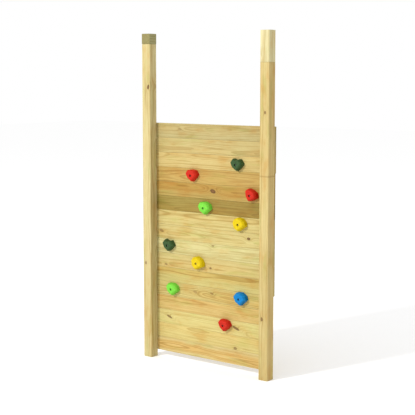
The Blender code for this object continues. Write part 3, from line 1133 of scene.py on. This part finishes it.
def place_screws(name, pattern, spots, facing):
    screws = [
        place_copy(pattern, "screw placed", spot, facing, turn=SCREW_TURN * (spot.x + spot.z))
        for spot in spots]
    finish_piece(join_pieces(screws, name), zinc, "zinc_steel")
    print(name, len(screws), "screws")


for post in ("left_post", "right_post"):
    row = [spot for number in range(1, BOARD_COUNT + 1) for spot in screw_spots(number, post)]
    place_screws(f"{post}_board_screws", board_screw, row, "+Y")
place_screws("left_head_screws", head_screw, head_screw_spots(), "+Z")

# %% [markdown]
# The bolts come through from the front and the T-nuts sit on the backs of the boards. Each pair shares one
# turn, a different one at every hold.

# %% Bolts and T-nuts in place
# Radians from one hold's bolt to the next one's.
BOLT_TURN = 2.4

for index, name in enumerate(HOLD_NAMES):
    turn = index * BOLT_TURN
    spot = middle(f"hold_bolt_{name}")
    spot.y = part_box(f"hold_bolt_{name}")[0].y + BOLT_HEAD_HEIGHT
    placed = place_copy(bolt, f"socket_bolt_{name}", spot, "-Y", turn)
    finish_piece(placed, zinc, "zinc_steel", f"hold_bolt_{name}")
    spot.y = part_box(f"t_nut_{name}")[1].y - NUT_FLANGE_THICK
    placed = place_copy(nut, f"prong_nut_{name}", spot, "-Y", turn)
    finish_piece(placed, zinc, "zinc_steel", f"t_nut_{name}")
for pattern in (bolt, nut, board_screw, head_screw, screw_bit, nut_bit):
    bpy.data.objects.remove(pattern, do_unlink=True)
print(len(HOLD_NAMES), "bolts and as many T-nuts")

# %% [markdown]
# ## Holds
# The holds are blocks of coloured resin cast in a mould: steep sides, a short shoulder and a broad crown
# that leans, so that its upper edge stands out for the fingers. Sculpting would give such a shape, but
# not the same one twice. A prism with a few sides already has the flats: its upright edges are dragged to
# the outline, its top face is drawn in, extruded and tilted, and the edges are bevelled.

# %% A hold's block
RIM_DEPTH = 28 * MM
RIM_SCALE = 0.96
RIM_LIFT = 1 * MM
CROWN_SCALE = 0.74
CROWN_LIFT = 3 * MM
CROWN_SLOPE = 0.10
CROWN_TILT = math.atan(CROWN_SLOPE)
HOLD_DEPTH = 40 * MM
HOLD_RADIUS = 40 * MM
HOLD_ROUNDING = 3.5 * MM
ROUNDING_STEPS = 4
BACK_SPARE = 3 * MM
TOUCH = 0.01 * MM
# Outlines seen from the front: corners in millimetres from the bolt, clockwise.
HOLD_OUTLINES = {
    "heart": ((-50, 10), (-30, 40), (-3, 31), (24, 41), (51, 10), (31, -18), (4, -43), (-32, -21)),
    "shield": ((-50, 12), (-34, 37), (0, 41), (33, 36), (51, 8), (28, -21), (2, -43), (-32, -20)),
    "wedge": ((-53, 6), (-37, 36), (7, 44), (40, 31), (55, 3), (7, -45), (-34, -26)),
    "egg": ((-52, -2), (-45, 26), (-18, 45), (18, 45), (44, 28), (55, 3), (3, -47), (-34, -34)),
    "hexagon": ((-53, 8), (-30, 40), (11, 46), (44, 29), (55, 3), (9, -46), (-34, -26)),
}


def drag_corner(piece, start, end):
    """Move the upright edge that stands at start so that it stands at end."""
    pick(piece, "VERT", lambda corner: (corner.co.xy - start).length < TOUCH)
    bpy.ops.transform.translate(value=(*(end - start), 0))


def block_hold(name, outline):
    """A hold's block about the Z axis, its back just below height 0 and its crown upwards."""
    piece = add_alone(
        bpy.ops.mesh.primitive_cylinder_add, name, vertices=len(outline), radius=HOLD_RADIUS,
        depth=RIM_DEPTH + BACK_SPARE, location=(0, 0, (RIM_DEPTH - BACK_SPARE) / 2))
    corners = [corner.co.xy.copy() for corner in piece.data.vertices if corner.co.z > 0]
    corners.sort(key=lambda corner: -math.atan2(corner.y, corner.x))
    bpy.ops.object.mode_set(mode="EDIT")
    for start, end in zip(corners, outline):
        drag_corner(piece, start, Vector(end) * MM)
    pick(piece, "FACE", lambda face: face.normal.z > TOP_FACING)
    bpy.ops.transform.resize(value=(RIM_SCALE, RIM_SCALE, 1.0), center_override=(0, 0, RIM_DEPTH))
    bpy.ops.transform.translate(value=(0, RIM_LIFT, 0))
    bpy.ops.mesh.extrude_region_move(TRANSFORM_OT_translate={"value": (0, 0, HOLD_DEPTH - RIM_DEPTH)})
    share = CROWN_SCALE / RIM_SCALE
    bpy.ops.transform.resize(value=(share, share, 1.0), center_override=(0, RIM_LIFT, HOLD_DEPTH))
    bpy.ops.transform.translate(value=(0, CROWN_LIFT - RIM_LIFT, 0))
    bpy.ops.transform.rotate(
        value=-CROWN_TILT, orient_axis="X", center_override=(0, CROWN_LIFT, HOLD_DEPTH))
    pick(piece, "EDGE", lambda edge: max(corner.co.z for corner in edge.verts) > 0)
    bpy.ops.mesh.bevel(
        offset=HOLD_ROUNDING, segments=ROUNDING_STEPS, profile=0.5, affect="EDGES", clamp_overlap=True)
    bpy.ops.object.mode_set(mode="OBJECT")
    return piece


blocks = {name: block_hold(f"{name} mould", outline) for name, outline in HOLD_OUTLINES.items()}
for name, block in blocks.items():
    print(name, "stands", round(max(corner.co.z for corner in block.data.vertices) / MM, 1), "mm proud")

# %% [markdown]
# A casting has no sharp facets, and its skin is gritty so that a shoe grips. Remeshing turns each block into
# an even net, which can be smoothed and pushed about like clay: broad dents first, then grit. The back is
# cut off flat and the bolt's seat is cut last, so that both stay crisp.

# %% Cast skin and bolt seat
SKIN_STEP = 1.3 * MM
SKIN_SMOOTHING = 3
SMOOTH_FACTOR = 0.5
DENT_SIZE = 16 * MM
DENT_DEPTH = 1.0 * MM
GRIT_SIZE = 3.2 * MM
GRIT_DEPTH = 0.45 * MM
SEAT_SIDES = 48
SEAT_DEPTH = 20 * MM
SEAT_RADIUS = 8 * MM
# Widening and height against the crown of the seat's rounded mouth, from its straight part outwards.
SEAT_MOUTH = ((0.0, -3 * MM), (0.8 * MM, -1 * MM), (4 * MM, 4 * MM))
BIT_SPARE = 10 * MM
BOLT_CLEARANCE = 0.6 * MM
HOLD_SMOOTHING = 40


def cast_hold(block):
    apply_modifier(block, "REMESH", mode="VOXEL", voxel_size=SKIN_STEP)
    apply_modifier(block, "SMOOTH", factor=SMOOTH_FACTOR, iterations=SKIN_SMOOTHING)
    roughen(block, DENT_SIZE, DENT_DEPTH)
    roughen(block, GRIT_SIZE, GRIT_DEPTH)
    make_active(block)
    bpy.ops.object.mode_set(mode="EDIT")
    bpy.ops.mesh.select_all(action="SELECT")
    bpy.ops.mesh.bisect(plane_co=(0, 0, 0), plane_no=(0, 0, 1), clear_inner=True, use_fill=True)
    bpy.ops.object.mode_set(mode="OBJECT")
    mouth = [(SEAT_RADIUS + wider, HOLD_DEPTH + height) for wider, height in SEAT_MOUTH]
    combine(block, turn_piece("seat cutter", SEAT_SIDES, (
        (BOLT_RADIUS + BOLT_CLEARANCE, -BIT_SPARE),
        (BOLT_RADIUS + BOLT_CLEARANCE, SEAT_DEPTH),
        (SEAT_RADIUS, SEAT_DEPTH),
        *mouth)), "DIFFERENCE")
    shade_smooth(block, HOLD_SMOOTHING)


for name, block in blocks.items():
    cast_hold(block)
    print(name, "casting", len(block.data.polygons), "faces")

# %% [markdown]
# The resin is dyed right through. Its skin is dull, with grit as fine as sand that is darkened in spots
# with painted shade, and here and there a paler scuff from a shoe.

# %% Resin finish
RESIN_GLOSS = 0.16
RESIN_RELIEF = 0.5 * MM
RESIN_STRENGTH = 0.6
SCUFF_GREY = (0.42, 0.42, 0.40)
SCUFF_COVER = 0.08
SCUFF_EDGE = (0.14, 0.30)
# Painted shade on the grit: where it starts and is full, how much it darkens, and its shares of the resin's
# colour.
GRIT_SHADE_EDGE = (0.0, 0.35)
GRIT_SHADE_COVER = 0.35
GRIT_SHADE_SHARES = (0.55, 0.55, 0.55)
GRAIN_RELIEF = 0.5
SWIRL_EDGE = 0.25
SWIRL_DARK = (0.88, 0.88, 0.88)
SWIRL_PALE = (1.08, 1.08, 1.08)
# Roughness of plain resin, and what grit, swirl and scuffs add to it.
RESIN_ROUGHNESS = (0.55, 0.25, 0.12, 0.1)
# Each mark: how many fit in a metre along each axis, its place, its detail and roughness.
RESIN_MARKS = {
    "grit": ((620, 620, 620), HERE, 2.0, 0.5),
    "grains": ((2400, 2400, 2400), (5, 2, 1), 1.0, 0.5),
    "swirl": ((55, 55, 55), (2, 9, 4), 3.0, 0.5),
    "scuffs": ((90, 90, 40), (7, 3, 8), 4.0, 0.7),
}
RESIN_TONES = {
    "dark_green_resin": tone(66, 98, 54),
    "red_resin": tone(234, 44, 20),
    "lime_resin": tone(140, 246, 76),
    "yellow_resin": tone(255, 224, 0),
    "blue_resin": tone(0, 146, 224),
}


def resin_finish(slot, colour):
    material, shader, start = new_finish(slot.replace("_", " "))
    place = start.node("ShaderNodeTexCoord", out="Object")
    grit, grains, swirl, scuffs = (noise(place, *mark) for mark in RESIN_MARKS.values())
    scuffs = rise(scuffs, *SCUFF_EDGE)
    dark, pale = scaled(colour, *SWIRL_DARK), scaled(colour, *SWIRL_PALE)
    skin = mix(rise(swirl, -SWIRL_EDGE, SWIRL_EDGE), dark, pale)
    # Painted shade darkens the grit's spots.
    skin = mix(rise(grit, *GRIT_SHADE_EDGE) * GRIT_SHADE_COVER, skin, scaled(colour, *GRIT_SHADE_SHARES))
    feed(mix(scuffs * SCUFF_COVER, skin, SCUFF_GREY), shader["Base Color"])
    plain, grit_part, swirl_part, scuff_part = RESIN_ROUGHNESS
    feed(plain + grit * grit_part + swirl * swirl_part + scuffs * scuff_part, shader["Roughness"])
    feed_relief(grit + grains * GRAIN_RELIEF, RESIN_STRENGTH, RESIN_RELIEF, shader)
    shader["Specular IOR Level"].default_value = RESIN_GLOSS
    return material


resins = {slot: resin_finish(slot, colour) for slot, colour in RESIN_TONES.items()}
print(len(resins), "resins")

# %% [markdown]
# Five castings make ten holds. Those that share a casting are turned differently, as they are on the real
# wall.

# %% Holds in place
# Each hold: its casting, its resin and its turn in degrees.
HOLDS = {
    "green_upper": ("heart", "dark_green_resin", -4),
    "red_upper": ("shield", "red_resin", 0),
    "red_side": ("shield", "red_resin", -25),
    "lime_upper": ("wedge", "lime_resin", -6),
    "yellow_upper": ("egg", "yellow_resin", -10),
    "green_lower": ("heart", "dark_green_resin", -8),
    "yellow_lower": ("egg", "yellow_resin", -22),
    "lime_lower": ("wedge", "lime_resin", -10),
    "blue": ("hexagon", "blue_resin", -6),
    "red_lower": ("shield", "red_resin", -6),
}

for name, (casting, slot, turn) in HOLDS.items():
    spot = middle(f"hold_bolt_{name}")
    spot.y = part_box(f"hold_{name}")[1].y
    hold = place_copy(blocks[casting], f"moulded_hold_{name}", spot, "-Y", math.radians(turn))
    finish_piece(hold, resins[slot], slot, f"hold_{name}")
for block in blocks.values():
    bpy.data.objects.remove(block, do_unlink=True)
print(len(HOLDS), "holds in place")
